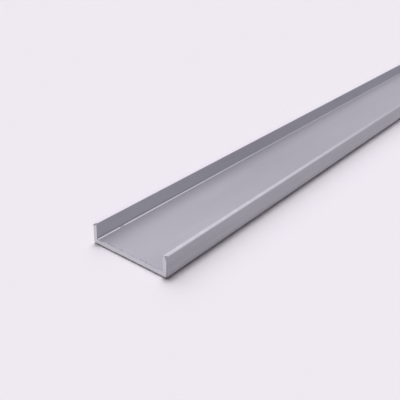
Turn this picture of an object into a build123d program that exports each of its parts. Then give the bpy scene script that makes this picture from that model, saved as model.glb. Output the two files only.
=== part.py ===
from build123d import *
import os

# Shallow U-channel, extruded in one piece from aluminium and sawn to a stock length.
# Millimetres. +X runs along the length, +Y across the width and +Z out of the open side.
# The origin is the middle of the underside, which is what the channel lies on.

# Section of the die
CHANNEL_WIDTH = 20.0  # over the outer faces of the two flanges
FLANGE_HEIGHT = 5.0  # from the underside to the flange tips
FLANGE_WALL = 1.0
WEB_WALL = 1.0
HEEL_RADIUS = 0.25  # outside corner, where a flange turns into the web
ROOT_RADIUS = 0.3  # inside corner, between a flange and the web
TIP_RADIUS = 0.15  # both long edges of each flange tip

# Length and the sawn ends
STOCK_LENGTH = 500.0
RIGHT_FILED_ACROSS = 0.7  # the filed corner of the right flange, measured across its tip
RIGHT_FILED_DOWN = 1.6  # the same, down its outer face
LEFT_FILED_ACROSS = 0.95  # the left flange is filed flatter
LEFT_FILED_DOWN = 0.6
FILED_ALONG = 0.35  # both, along the length

half_width = CHANNEL_WIDTH / 2
half_length = STOCK_LENGTH / 2


def section():
    """The die's opening: a rectangle less its channel, with every corner rounded from the tips down."""
    with BuildSketch(Plane.YZ) as die:
        Rectangle(CHANNEL_WIDTH, FLANGE_HEIGHT, align=(Align.CENTER, Align.MIN))
        with Locations((0, WEB_WALL)):
            Rectangle(
                CHANNEL_WIDTH - 2 * FLANGE_WALL,
                FLANGE_HEIGHT - WEB_WALL,
                align=(Align.CENTER, Align.MIN),
                mode=Mode.SUBTRACT,
            )
        fillet(die.vertices().group_by(Axis.Y)[-1], TIP_RADIUS)
        fillet(die.vertices().group_by(Axis.Y)[1], ROOT_RADIUS)
        fillet(die.vertices().group_by(Axis.Y)[0], HEEL_RADIUS)
    return die.sketch


def filed_corner(side, across, down):
    """Plane that takes the burr off a flange's outer top corner at the near end, facing out of the metal."""
    corner = Vector(-half_length, side * half_width, FLANGE_HEIGHT)
    on_tip = corner - Vector(0, side * across, 0)
    on_face = corner - Vector(0, 0, down)
    along = corner + Vector(FILED_ALONG, 0, 0)
    normal = (on_tip - along).cross(on_face - along)
    if normal.dot(corner - along) < 0:
        normal = -normal
    return Plane(origin=along, z_dir=normal)


def channel():
    """The whole length, with the two corners of the near end filed."""
    bar = extrude(section(), amount=half_length, both=True)
    right = filed_corner(-1, RIGHT_FILED_ACROSS, RIGHT_FILED_DOWN)
    left = filed_corner(1, LEFT_FILED_ACROSS, LEFT_FILED_DOWN)
    for cut in (right, left):
        bar = split(bar, bisect_by=cut, keep=Keep.BOTTOM)
    return bar


u_channel = channel()
u_channel.label = "u_channel"

os.makedirs("parts", exist_ok=True)
export_step(u_channel, "parts/u_channel.step")
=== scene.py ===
import math
import random

import bmesh
import bpy
from mathutils import Matrix, Vector

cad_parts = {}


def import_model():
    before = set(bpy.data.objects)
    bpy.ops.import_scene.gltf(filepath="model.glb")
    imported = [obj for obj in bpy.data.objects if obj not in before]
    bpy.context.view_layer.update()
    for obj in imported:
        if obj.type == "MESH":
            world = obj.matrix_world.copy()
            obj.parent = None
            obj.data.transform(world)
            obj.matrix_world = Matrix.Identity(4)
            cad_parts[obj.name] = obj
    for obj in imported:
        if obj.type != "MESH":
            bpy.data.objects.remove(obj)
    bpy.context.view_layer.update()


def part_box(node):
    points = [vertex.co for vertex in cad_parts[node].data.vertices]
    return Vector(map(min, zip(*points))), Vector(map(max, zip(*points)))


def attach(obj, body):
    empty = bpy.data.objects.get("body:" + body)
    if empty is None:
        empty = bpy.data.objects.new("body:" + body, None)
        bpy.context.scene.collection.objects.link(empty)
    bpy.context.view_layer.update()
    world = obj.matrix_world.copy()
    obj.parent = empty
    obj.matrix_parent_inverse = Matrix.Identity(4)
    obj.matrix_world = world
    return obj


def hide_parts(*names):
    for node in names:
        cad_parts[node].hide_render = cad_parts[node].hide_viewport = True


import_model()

# Shallow aluminium U-channel, sawn to a stock length and lying on its web on a pale floor.
# Metres. +X runs along the length, away from the sawn end that faces the camera.

MM = 0.001
NODE = "u_channel"

# Section, from the frame's box and the die's own walls and corners
FLANGE_WALL = 1.0 * MM
WEB_WALL = 1.0 * MM
HEEL_RADIUS = 0.25 * MM
ROOT_RADIUS = 0.3 * MM
TIP_RADIUS = 0.15 * MM
CORNER_STEPS = 8  # facets of a rounded corner

# Filed corners of the near end, as in the solid
RIGHT_FILED_ACROSS = 0.7 * MM
RIGHT_FILED_DOWN = 1.6 * MM
LEFT_FILED_ACROSS = 0.95 * MM
LEFT_FILED_DOWN = 0.6 * MM
FILED_ALONG = 0.35 * MM

# Sawn ends
SAW_STEP = 0.4 * MM  # between the points of the ragged sawn edge
SAW_EDGE = 0.14 * MM  # width of the strip round a sawn end in which its edges are broken
SAW_ROLLED = 0.20 * MM  # how far the edges run back that the blade left last
SAW_ROLLED_LEFT = 0.25  # share of that at the left side, where the blade came in
SAW_RAGGED = 0.25 * MM  # how far the web's top edge runs back where it is most ragged
SAW_LIP = 0.06 * MM  # highest burr on the web
END_RING = 1.0 * MM  # from the end to the first ring
LENGTH_STEP = 25.0 * MM  # between the rings along the length

# Camera, from the middle of the near sawn end
CAMERA_FROM_END = Vector((-73.97, -72.64, 69.77)) * MM
AIM_FROM_END = Vector((29.54, 4.82, 0.0)) * MM
CAMERA_ROLL = math.radians(2.25)
CAMERA_LENS = 55.12  # in millimetres, on a sensor 36 mm wide

# Light and floor
FLOOR_COLOUR = (0.93, 0.885, 0.955, 1.0)
FLOOR_REACH = 30.0
FLOOR_BELOW = 0.10 * MM  # from the web down to the floor, which leaves a dark line along the foot
BACKGROUND_COLOUR = (0.863, 0.821, 0.892, 1.0)
SKY_FILL = 0.09  # the world's strength for diffuse light
# The lamps: strength, width in degrees, and the direction that the light comes from
LAMPS = {
    "ceiling_lamp": (1.37, 24, Vector((0.20, 0.18, 1.0))),
    "soft_key": (1.64, 66, Vector((0.30, 0.50, 0.83))),
}

SEED = 7
TOUCHING = 1e-4 * MM
DRAWN, SAWN, FILED = range(3)  # the channel's materials

# How much of a face's normal points along an axis
DRAWN_ENDWAYS = 0.1  # along X, at most, on a face that the die drew
SAWN_ENDWAYS = 0.3  # along X, at least, on a face that the saw left
ROLLED_SIDEWAYS = 0.3  # against Y, at least, on such a face that the blade rolled over on the right
FLAT = 0.9999  # along any one axis, at least, on a flat face


class Wire:
    """A shader socket, on which Python's operators add Math nodes."""

    def __init__(self, shader, socket):
        self.shader = shader
        self.socket = socket

    def maths(self, operation, first, second):
        return self.shader.node("ShaderNodeMath", {"operation": operation}, {0: first, 1: second})

    def __add__(self, other):
        return self.maths("ADD", self, other)

    def __radd__(self, other):
        return self.maths("ADD", other, self)

    def __sub__(self, other):
        return self.maths("SUBTRACT", self, other)

    def __rsub__(self, other):
        return self.maths("SUBTRACT", other, self)

    def __mul__(self, other):
        return self.maths("MULTIPLY", self, other)

    def __rmul__(self, other):
        return self.maths("MULTIPLY", other, self)


class Shader:
    """The node tree of a material or of the world."""

    def __init__(self, owner):
        owner.use_nodes = True
        self.owner = owner
        self.tree = owner.node_tree
        self.tree.nodes.clear()

    def node(self, kind, settings=None, inputs=None, output=0):
        """Adds one node: its settings first, then the values or wires of its sockets."""
        made = self.tree.nodes.new(kind)
        for name, value in (settings or {}).items():
            setattr(made, name, value)
        for name, value in (inputs or {}).items():
            if isinstance(value, Wire):
                self.tree.links.new(value.socket, made.inputs[name])
            else:
                made.inputs[name].default_value = value
        return Wire(self, made.outputs[output]) if len(made.outputs) else made

    def place(self, stretch=(1, 1, 1)):
        """Object coordinates in millimetres, squeezed by stretch."""
        at = self.node("ShaderNodeTexCoord", output="Object")
        scale = [s / MM for s in stretch]
        return self.node("ShaderNodeMapping", {}, {"Vector": at, "Scale": scale})

    def noise(self, at, scale, detail=2.0, roughness=0.5):
        sockets = {"Vector": at, "Scale": scale, "Detail": detail, "Roughness": roughness}
        return self.node("ShaderNodeTexNoise", {}, sockets)

    def along(self, axis):
        """Place along an axis of the channel, in millimetres."""
        return self.node("ShaderNodeSeparateXYZ", {}, {0: self.place()}, axis)

    def band(self, value, low, high, soft):
        """One from low to high and nothing outside, with soft sides."""
        return self.ease(value, low - soft, low) * self.ease(value, high + soft, high)

    def ease(self, value, low, high):
        """Nothing up to low and one from high on, with an eased rise between them."""
        sockets = {"Value": value, 1: low, 2: high}
        return self.node("ShaderNodeMapRange", {"interpolation_type": "SMOOTHSTEP"}, sockets)

    def mix(self, factor, first, second):
        """Colour from first to second."""
        return self.node("ShaderNodeMix", {"data_type": "RGBA"}, {0: factor, 6: first, 7: second}, 2)

    def finish(self, colour, roughness, bump):
        """Metal with this colour and roughness, and bump in millimetres."""
        sockets = {"Height": bump, "Strength": 1.0, "Distance": MM}
        normal = self.node("ShaderNodeBump", {}, sockets)
        sockets = {"Base Color": colour, "Roughness": roughness, "Metallic": 1.0, "Normal": normal}
        metal = self.node("ShaderNodeBsdfPrincipled", {}, sockets)
        self.node("ShaderNodeOutputMaterial", {}, {"Surface": metal})
        return self.owner


# Colours of the finishes, and of the painted light and shade on them
ANODISED_COLOUR = (0.64, 0.645, 0.675, 1.0)
ANODISED_DULL = (0.575, 0.58, 0.61, 1.0)
# painted shade on the web away from the near end
WEB_PAINTED_SHADE_FURTHER = (0.52, 0.525, 0.55, 1.0)
# painted light on the web towards the left flange
WEB_PAINTED_LIGHT_BY_LEFT = (0.67, 0.675, 0.705, 1.0)
# painted shadow of the saw's burr
BURR_PAINTED_SHADOW = (0.36, 0.36, 0.38, 1.0)
FLANGE_COLOUR = (0.53, 0.535, 0.56, 1.0)
FLANGE_DULL = (0.48, 0.485, 0.51, 1.0)
OUTSIDE_COLOUR = (0.465, 0.47, 0.49, 1.0)
OUTSIDE_DULL = (0.415, 0.42, 0.44, 1.0)
# painted shade on the outer faces further along
OUTSIDE_PAINTED_SHADE_FURTHER = (0.39, 0.395, 0.42, 1.0)
# painted light at the foot of the outer faces
OUTSIDE_PAINTED_LIGHT_FOOT = (0.58, 0.585, 0.61, 1.0)
# painted highlight on the left tip and the left filed corner
PAINTED_HIGHLIGHT_COLOUR = (0.96, 0.95, 0.98, 1.0)
RUBBED_COLOUR = (0.80, 0.795, 0.83, 1.0)
RUBBED_PATCHY = (0.74, 0.74, 0.77, 1.0)
RUBBED_LITTLE = (0.55, 0.555, 0.58, 1.0)
# painted shade towards the tips' outer edges
TIP_OUTER_PAINTED_SHADE = (0.58, 0.585, 0.61, 1.0)
# painted highlight in the roots, and the painted shade above it
CREASE_PAINTED_HIGHLIGHT = (0.84, 0.835, 0.88, 1.0)
CREASE_PAINTED_SHADE = (0.40, 0.40, 0.43, 1.0)
SAWN_COLOUR = (0.765, 0.77, 0.785, 1.0)
SAWN_DULL = (0.645, 0.65, 0.665, 1.0)
# dark as painted shade on the filed corner, the rolled edge and the burr's line
FILED_PAINTED_SHADE = (0.38, 0.37, 0.40, 1.0)

# Places on the channel, in millimetres, as the materials read them
NEAR_END = -250.0
OUTER_FACE = 10.0  # of a flange, from the middle
INNER_FACE = 9.0
TIP = 5.0  # height of a flange's tip
WEB_TOP = 1.0
ROOT = INNER_FACE - 0.3  # where the web turns up into a flange
CREASE_GAP = NEAR_END + 7.2  # where the painted highlights in the roots stop for a moment
RUBBED_LENGTH = 130.0  # from the near end, over which the tips' wear fades


def web_colour(shader, clouding, along, across):
    """The web: painted shade away from the near end, painted light towards the left flange, and short
    painted shadows beside the sawn edge.
    """
    web = shader.mix(clouding, ANODISED_DULL, ANODISED_COLOUR)
    away = shader.ease(along, NEAR_END + 5, NEAR_END + 60) * 0.6
    # Painted shade away from the near end, and painted light towards the left flange
    web = shader.mix(away, web, WEB_PAINTED_SHADE_FURTHER)
    web = shader.mix(away * shader.ease(across, 1.0, 8.5), web, WEB_PAINTED_LIGHT_BY_LEFT)
    # Painted light on the web by the left flange, near the end
    painted_light_near_left = shader.band(along, NEAR_END + 15, NEAR_END + 25, 30) * shader.ease(across, 0.5, 5.0) * 0.75
    web = shader.mix(painted_light_near_left, web, WEB_PAINTED_LIGHT_BY_LEFT)
    # Painted shadows of the saw's burr, in short dashes beside the cut
    burr_shadow = shader.noise(shader.place((2, 1, 2)), 0.9, 4, 0.75)
    burr_shadow = shader.band(along, NEAR_END + 0.25, NEAR_END + 0.5, 0.25) * shader.ease(burr_shadow, 0.44, 0.60)
    return shader.mix(burr_shadow * 0.5, web, BURR_PAINTED_SHADOW)


def flange_colour(shader, clouding, along, side, height):
    """The flanges: painted shade on their outer faces along the length, and painted light at their foot."""
    inside = shader.mix(clouding, FLANGE_DULL, FLANGE_COLOUR)
    outside = shader.mix(clouding, OUTSIDE_DULL, OUTSIDE_COLOUR)
    # Painted shade on the outer faces further along
    further = shader.ease(along, NEAR_END + 20, NEAR_END + 140) * 0.4
    outside = shader.mix(further, outside, OUTSIDE_PAINTED_SHADE_FURTHER)
    # Painted light at the foot of the outer faces
    outside = shader.mix(shader.ease(height, 2.8, 0.4) * 0.8, outside, OUTSIDE_PAINTED_LIGHT_FOOT)
    return shader.mix(shader.ease(side, INNER_FACE + 0.4, INNER_FACE + 0.6), inside, outside)


def root_painted_lines(shader, colour, along, side, height):
    """Adds a painted highlight in each root, with its gap, and a thin painted shade on the flange above it.
    """
    near_fade = shader.ease(along, NEAR_END + 75, NEAR_END + 5)
    above = shader.band(side, INNER_FACE - 0.1, INNER_FACE + 0.05, 0.02)
    above = above * shader.band(height, WEB_TOP + 0.34, WEB_TOP + 0.60, 0.12)
    # Painted shade on the flange just above the root
    colour = shader.mix(above * near_fade * 0.8, colour, CREASE_PAINTED_SHADE)
    # Painted highlight in the root, with its gap
    whole = 1.0 - shader.band(along, CREASE_GAP - 0.5, CREASE_GAP + 0.5, 0.2)
    root = shader.band(side, INNER_FACE - 0.18, INNER_FACE + 0.02, 0.03)
    crease_highlight = root * shader.band(height, WEB_TOP - 0.05, WEB_TOP + 0.17, 0.04) * whole
    return shader.mix(crease_highlight * (near_fade * 0.75 + 0.25), colour, CREASE_PAINTED_HIGHLIGHT)


def tip_colour(shader, along, across, side):
    """The flanges' tips: worn in patches, less so further along, with painted shade towards their outer
    edges and a painted highlight over the whole left tip.
    """
    fading = shader.ease(along, NEAR_END, NEAR_END + RUBBED_LENGTH)
    wear = shader.noise(shader.place((0.4, 0.4, 1)), 1.0, 3, 0.6)
    tip = shader.mix(shader.ease(wear, 0.40, 0.60), RUBBED_PATCHY, RUBBED_COLOUR)
    tip = shader.mix(fading, tip, RUBBED_LITTLE)
    # Painted shade towards the tip's outer edge
    tip = shader.mix(shader.ease(side, INNER_FACE + 0.55, OUTER_FACE - 0.05) * 0.45, tip, TIP_OUTER_PAINTED_SHADE)
    # Painted highlight over the whole left tip
    return shader.mix(shader.ease(across, INNER_FACE - 1.0, INNER_FACE), tip, PAINTED_HIGHLIGHT_COLOUR)


def satin_anodised():
    """The die-drawn faces: satin, with faint lines along the length, worn tips partly painted with
    highlight and shade, painted highlights and shade along the roots, and painted light and shade over the
    web and flanges.
    """
    shader = Shader(bpy.data.materials.new("satin_anodised"))
    along, across, height = (shader.along(axis) for axis in "XYZ")
    side = shader.node("ShaderNodeMath", {"operation": "ABSOLUTE"}, {0: across})
    cloud = shader.noise(shader.place((0.25, 1, 1)), 0.12, 3)
    lines = shader.noise(shader.place((0.004, 1, 1)), 4.0, 4, 0.6)
    grain = shader.noise(shader.place((0.3, 1, 1)), 12.0, 2)
    patches = shader.noise(shader.place((0.02, 0.02, 0.02)), 1.0, 2)

    clouding = shader.ease(cloud, 0.35, 0.65) * 0.6 + shader.ease(lines, 0.35, 0.65) * 0.4
    web = web_colour(shader, clouding, along, across)
    flange = flange_colour(shader, clouding, along, side, height)
    colour = shader.mix(shader.ease(side, ROOT - 0.06, ROOT + 0.02), web, flange)
    colour = root_painted_lines(shader, colour, along, side, height)
    # The tips' tops: worn, with a painted highlight and painted shade
    worn_and_highlit_tip = shader.ease(height, TIP - 0.15, TIP)
    colour = shader.mix(worn_and_highlit_tip, colour, tip_colour(shader, along, across, side))
    inner_wall = shader.band(side, INNER_FACE - 0.1, INNER_FACE + 0.2, 0.1)
    roughness = 0.53 + lines * 0.06 + patches * 0.04 - inner_wall * 0.09 - worn_and_highlit_tip * 0.06
    return shader.finish(colour, roughness, lines * 0.006 + grain * 0.002)


def sawn():
    """The bare sawn ends, with the blade's marks, and at the near end a painted highlight on the left filed
    corner and a painted shadow line below it.
    """
    shader = Shader(bpy.data.materials.new("sawn_aluminium"))
    along, across, height = (shader.along(axis) for axis in "XYZ")
    marks = shader.noise(shader.place((1, 0.15, 1)), 5.0, 3)
    colour = shader.mix(marks, SAWN_DULL, SAWN_COLOUR)
    # At the near end, a painted highlight on the left filed corner, and a painted shadow for the burr's
    # line across the wall below it
    slope = LEFT_FILED_DOWN / LEFT_FILED_ACROSS
    below = (OUTER_FACE - across) * slope + (TIP - LEFT_FILED_DOWN / MM) - height
    near = shader.ease(along, 1, 0)
    # Painted shadow line of the burr below the left filed corner
    burr_shadow = shader.band(below, 0.02, 0.28, 0.08) * shader.ease(across, INNER_FACE - 0.2, INNER_FACE - 0.1)
    colour = shader.mix(burr_shadow * near, colour, FILED_PAINTED_SHADE)
    # Painted highlight on the left filed corner
    colour = shader.mix(shader.ease(below, -0.02, -0.06) * near, colour, PAINTED_HIGHLIGHT_COLOUR)
    return shader.finish(colour, 0.66 + marks * 0.1, marks * 0.02)


def filed():
    """The right flange's filed corner, and the edge that the blade rolled over below it, both dark as
    painted shade.
    """
    shader = Shader(bpy.data.materials.new("filed_painted_shade"))
    marks = shader.noise(shader.place((1, 1, 0.1)), 9.0, 2)
    return shader.finish(FILED_PAINTED_SHADE, 0.5 + marks * 0.1, marks * 0.02)


def level_with(verts, height):
    return [v for v in verts if abs(v.co.z - height) < TOUCHING]


def round_corners(bm, height, radius):
    """Rounds the section's corners at one height."""
    bmesh.ops.bevel(
        bm,
        geom=level_with(bm.verts, height),
        offset=radius,
        offset_type="OFFSET",
        segments=CORNER_STEPS,
        profile=0.5,
        affect="VERTICES",
        material=-1,
    )


def section(bm, low, high):
    """The die's opening as one face in the plane of the near end, its straight edges cut in short steps."""
    inner = high.y - FLANGE_WALL
    half = [(high.y, low.z), (high.y, high.z), (inner, high.z), (inner, WEB_WALL)]
    outline = half + [(-y, z) for y, z in reversed(half)]
    bm.faces.new([bm.verts.new((low.x, y, z)) for y, z in outline])
    round_corners(bm, low.z, HEEL_RADIUS)
    round_corners(bm, WEB_WALL, ROOT_RADIUS)
    round_corners(bm, high.z, TIP_RADIUS)
    for edge in bm.edges[:]:
        cuts = round(edge.calc_length() / SAW_STEP) - 1
        if cuts > 0:
            bmesh.ops.subdivide_edges(bm, edges=[edge], cuts=cuts)


def ring(bm, x):
    """Cuts a ring round the channel at x."""
    geom = bm.verts[:] + bm.edges[:] + bm.faces[:]
    bmesh.ops.bisect_plane(bm, geom=geom, dist=TOUCHING, plane_co=(x, 0, 0), plane_no=(1, 0, 0))


def break_sawn_edge(bm, x, inwards, dice):
    """Breaks the edges of the sawn end at x: rolled over below and on the right, ragged along the web."""
    end = next(f for f in bm.faces if all(abs(v.co.x - x) < TOUCHING for v in f.verts))
    bmesh.ops.inset_region(bm, faces=[end], thickness=SAW_EDGE, use_even_offset=True)
    bm.normal_update()
    right, left = (pick(v.co.y for v in end.verts) for pick in (min, max))
    for vert in bm.verts:
        drawn = [f.normal for f in vert.link_faces if abs(f.normal.x) < DRAWN_ENDWAYS]
        if not drawn or abs(vert.co.x - x) > TOUCHING:
            continue
        rolled = SAW_ROLLED * max(0.0, *(-min(n.y, n.z) for n in drawn))
        if vert.co.z < HEEL_RADIUS:
            rolled *= 1 - (1 - SAW_ROLLED_LEFT) * (vert.co.y - right) / (left - right)
        vert.co.x += inwards * rolled
        if abs(vert.co.z - WEB_WALL) < TOUCHING:
            vert.co.x += inwards * SAW_RAGGED * dice.random() ** 2
            vert.co.z += SAW_LIP * dice.random() ** 3


def file_corner(bm, corner, across, down, finish):
    """Takes off a flange's outer top corner at the near end, and closes the cut."""
    on_tip = corner - Vector((0, math.copysign(across, corner.y), 0))
    on_face = corner - Vector((0, 0, down))
    along = corner + Vector((FILED_ALONG, 0, 0))
    normal = (on_tip - along).cross(on_face - along)
    if normal.dot(corner - along) < 0:
        normal.negate()
    geom = bm.verts[:] + bm.edges[:] + bm.faces[:]
    bmesh.ops.bisect_plane(
        bm, geom=geom, dist=TOUCHING, plane_co=along, plane_no=normal.normalized(), clear_outer=True
    )
    open_edges = [e for e in bm.edges if e.is_boundary]
    filled = bmesh.ops.holes_fill(bm, edges=open_edges, sides=0)["faces"]
    for face in filled:
        face.material_index = finish


def channel(low, high):
    """The extruded length, with its two sawn ends and the filed corners of the near one."""
    dice = random.Random(SEED)
    bm = bmesh.new()
    section(bm, low, high)
    made = bmesh.ops.extrude_face_region(bm, geom=bm.faces[:])["geom"]
    moved = [v for v in made if isinstance(v, bmesh.types.BMVert)]
    bmesh.ops.translate(bm, verts=moved, vec=(high.x - low.x, 0, 0))
    bmesh.ops.recalc_face_normals(bm, faces=bm.faces[:])
    lengths = round((high.x - low.x) / LENGTH_STEP)
    for k in range(1, lengths):
        ring(bm, low.x + k * LENGTH_STEP)
    for x, inwards in ((low.x, 1), (high.x, -1)):
        ring(bm, x + inwards * END_RING)
        break_sawn_edge(bm, x, inwards, dice)
    bm.normal_update()
    # Sawn faces take the sawn material; the rolled edge on the right takes the filed one, dark as painted
    # shade
    for face in bm.faces:
        if abs(face.normal.x) > SAWN_ENDWAYS:
            face.material_index = FILED if face.normal.y < -ROLLED_SIDEWAYS else SAWN
    # The right corner's facet is closed in the filed material, dark as painted shade; the left one in the
    # sawn
    file_corner(bm, Vector((low.x, low.y, high.z)), RIGHT_FILED_ACROSS, RIGHT_FILED_DOWN, FILED)
    file_corner(bm, Vector((low.x, high.y, high.z)), LEFT_FILED_ACROSS, LEFT_FILED_DOWN, SAWN)
    flat = (Vector((1, 0, 0)), Vector((0, 1, 0)), Vector((0, 0, 1)))
    for face in bm.faces:
        face.smooth = face.material_index == DRAWN and all(abs(face.normal.dot(n)) < FLAT for n in flat)
    return shown("channel_extrusion", bm, [satin_anodised(), sawn(), filed()])


def shown(name, bm, materials):
    mesh = bpy.data.meshes.new(name)
    bm.to_mesh(mesh)
    bm.free()
    piece = bpy.data.objects.new(name, mesh)
    bpy.context.scene.collection.objects.link(piece)
    for material in materials:
        mesh.materials.append(material)
    return piece


def floor():
    bm = bmesh.new()
    bmesh.ops.create_grid(bm, x_segments=1, y_segments=1, size=FLOOR_REACH)
    shader = Shader(bpy.data.materials.new("pale_floor"))
    diffuse = shader.node("ShaderNodeBsdfDiffuse", {}, {"Color": FLOOR_COLOUR})
    shader.node("ShaderNodeOutputMaterial", {}, {"Surface": diffuse})
    ground = shown("floor", bm, [shader.owner])
    ground.location.z = -FLOOR_BELOW


def world():
    """A plain pale room: its full brightness to the camera and in reflections, less as light."""
    made = bpy.data.worlds.new("room")
    bpy.context.scene.world = made
    shader = Shader(made)
    seen = 0.0
    for ray in ("Is Camera Ray", "Is Glossy Ray", "Is Transmission Ray"):
        seen = shader.node("ShaderNodeLightPath", output=ray) + seen
    straight = 1.0 - shader.node("ShaderNodeLightPath", output="Diffuse Depth")
    strength = SKY_FILL + (1.0 - SKY_FILL) * seen * shader.node(
        "ShaderNodeClamp", {}, {"Value": straight})
    room = shader.node("ShaderNodeBackground", {}, {"Color": BACKGROUND_COLOUR, "Strength": strength})
    shader.node("ShaderNodeOutputWorld", {}, {"Surface": room})


def lamp(name, strength, width, direction):
    light = bpy.data.lights.new(name, "SUN")
    light.energy = strength
    light.angle = math.radians(width)
    made = bpy.data.objects.new(name, light)
    made.visible_glossy = False
    made.rotation_mode = "QUATERNION"
    made.rotation_quaternion = direction.to_track_quat("Z", "Y")
    bpy.context.scene.collection.objects.link(made)


def camera(near_end):
    data = bpy.data.cameras.new("camera")
    data.sensor_width = 36
    data.lens = CAMERA_LENS
    data.clip_start = 1 * MM
    made = bpy.data.objects.new("camera", data)
    made.location = near_end + CAMERA_FROM_END
    aim = AIM_FROM_END - CAMERA_FROM_END
    made.rotation_mode = "QUATERNION"
    roll = Matrix.Rotation(CAMERA_ROLL, 4, "Z").to_quaternion()
    made.rotation_quaternion = aim.to_track_quat("-Z", "Y") @ roll
    bpy.context.scene.collection.objects.link(made)
    bpy.context.scene.camera = made


low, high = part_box(NODE)

piece = channel(low, high)
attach(piece, "root")
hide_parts(NODE)

floor()
world()
for name, settings in LAMPS.items():
    lamp(name, *settings)
camera(Vector((low.x, 0, 0)))
bpy.context.scene.view_settings.view_transform = "Standard"
